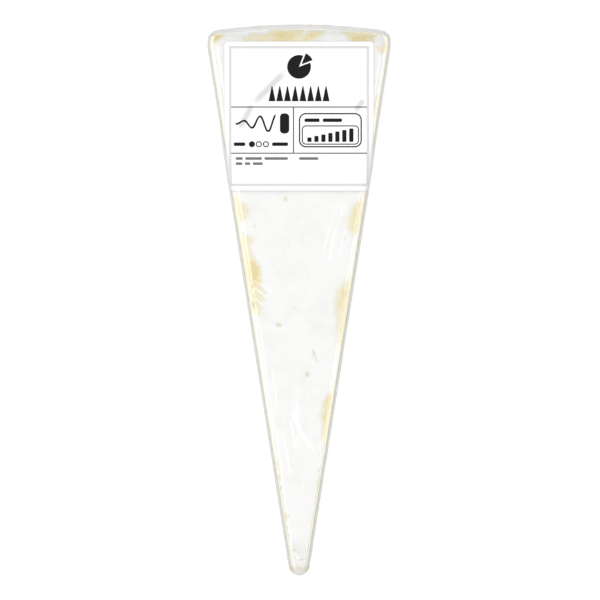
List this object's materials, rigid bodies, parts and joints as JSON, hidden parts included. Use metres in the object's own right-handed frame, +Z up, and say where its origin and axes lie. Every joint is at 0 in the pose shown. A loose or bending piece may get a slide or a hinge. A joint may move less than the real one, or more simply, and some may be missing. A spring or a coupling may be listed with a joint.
{
  "type": "film-wrapped brie wedge",
  "caption": "Long, narrow wedge of soft white-rinded cheese, shut tight in clear film, with a square white label over its wide end. It lies flat, rind side up.",
  "frame": {"origin": "middle of the pack's flat base", "axes": "+Y from the wedge's point to its round rind end, +Z up through the labelled face, +X to the right when the label is seen from above with the point nearest"},
  "size_m": [0.0576, 0.1714, 0.0333],
  "materials": {
    "wrapped_cheese": "clear glossy film over a matt white bloomy rind and pale cream paste",
    "label_paper": "smooth white coated paper with grey and black print"
  },
  "bodies": {
    "root": {"wrapped_brie": "wrapped_cheese", "paper_label": "label_paper"}
  },
  "joints": []
}
